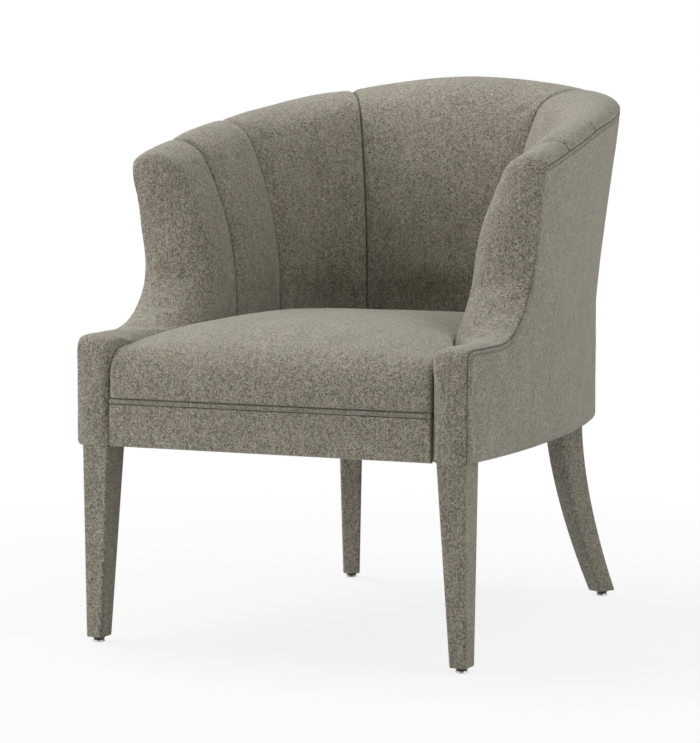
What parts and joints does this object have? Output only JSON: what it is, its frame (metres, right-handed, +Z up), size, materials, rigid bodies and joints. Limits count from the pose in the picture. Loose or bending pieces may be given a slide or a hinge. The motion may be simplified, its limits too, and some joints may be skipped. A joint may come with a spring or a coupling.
{
  "type": "accent chair",
  "caption": "Channel-back barrel accent chair with swooping arms, a tight crowned seat, fabric-wrapped tapered front legs and sabre rear legs on levelling glides.",
  "frame": {"origin": "on the floor, at the centre of the footprint's bounding box", "axes": "+X towards the sitter's left, -Y towards the front of the seat, +Z up"},
  "size_m": [0.662, 0.7594, 0.8199],
  "materials": {
    "fabric": "nubby wool-blend tweed, warm grey-beige with darker, olive and rust flecks",
    "leg_fabric": "the same nubby tweed, drawn tight over the legs",
    "seam_fabric": "the same nubby tweed, drawn in between two rows of stitches",
    "frame_wood": "planed birch, unfinished",
    "foam": "open-cell foam, matt",
    "deck_canvas": "woven canvas, matt",
    "dust_cloth": "black non-woven cloth, matt",
    "hardware_steel": "zinc-plated steel",
    "socket_nylon": "black nylon, matt",
    "glide_steel": "turned steel, satin"
  },
  "bodies": {
    "chair": {"front_rail": "frame_wood", "side_rail_left": "frame_wood", "side_rail_right": "frame_wood", "back_rail": "frame_wood", "corner_blocks": "frame_wood", "front_post_left": "frame_wood", "front_post_right": "frame_wood", "wing_board_left": "frame_wood", "wing_board_right": "frame_wood", "top_rail": "frame_wood", "back_uprights": "frame_wood", "frame_screws": "hardware_steel", "seat_springs": "hardware_steel", "spring_clips": "hardware_steel", "seat_deck": "deck_canvas", "seat_foam": "foam", "seat_cushion": "fabric", "front_band": "fabric", "seat_seam_band": "seam_fabric", "back_channel_centre": "fabric", "back_channel_left": "fabric", "back_channel_right": "fabric", "side_channel_left": "fabric", "side_channel_right": "fabric", "arm_facing_left": "fabric", "arm_facing_right": "fabric", "outside_arm_left": "fabric", "outside_arm_right": "fabric", "outside_back": "fabric", "dust_cover": "dust_cloth", "front_leg_left": "frame_wood", "front_leg_right": "frame_wood", "rear_leg_left": "frame_wood", "rear_leg_right": "frame_wood", "front_leg_cover_left": "leg_fabric", "front_leg_cover_right": "leg_fabric", "rear_leg_cover_left": "leg_fabric", "rear_leg_cover_right": "leg_fabric", "leg_bolts": "hardware_steel", "leg_nuts": "hardware_steel", "glide_sockets": "socket_nylon"},
    "glide_front_left": {"glide_front_left": "glide_steel"},
    "glide_front_right": {"glide_front_right": "glide_steel"},
    "glide_rear_left": {"glide_rear_left": "glide_steel"},
    "glide_rear_right": {"glide_rear_right": "glide_steel"}
  },
  "joints": [
    {"name": "glide_front_left_screw", "type": "slide", "parent": "chair", "child": "glide_front_left", "axis": [0, 0, -1], "range_m": [0, 0.01]},
    {"name": "glide_front_right_screw", "type": "slide", "parent": "chair", "child": "glide_front_right", "axis": [0, 0, -1], "range_m": [0, 0.01]},
    {"name": "glide_rear_left_screw", "type": "slide", "parent": "chair", "child": "glide_rear_left", "axis": [0, 0, -1], "range_m": [0, 0.01]},
    {"name": "glide_rear_right_screw", "type": "slide", "parent": "chair", "child": "glide_rear_right", "axis": [0, 0, -1], "range_m": [0, 0.01]}
  ]
}
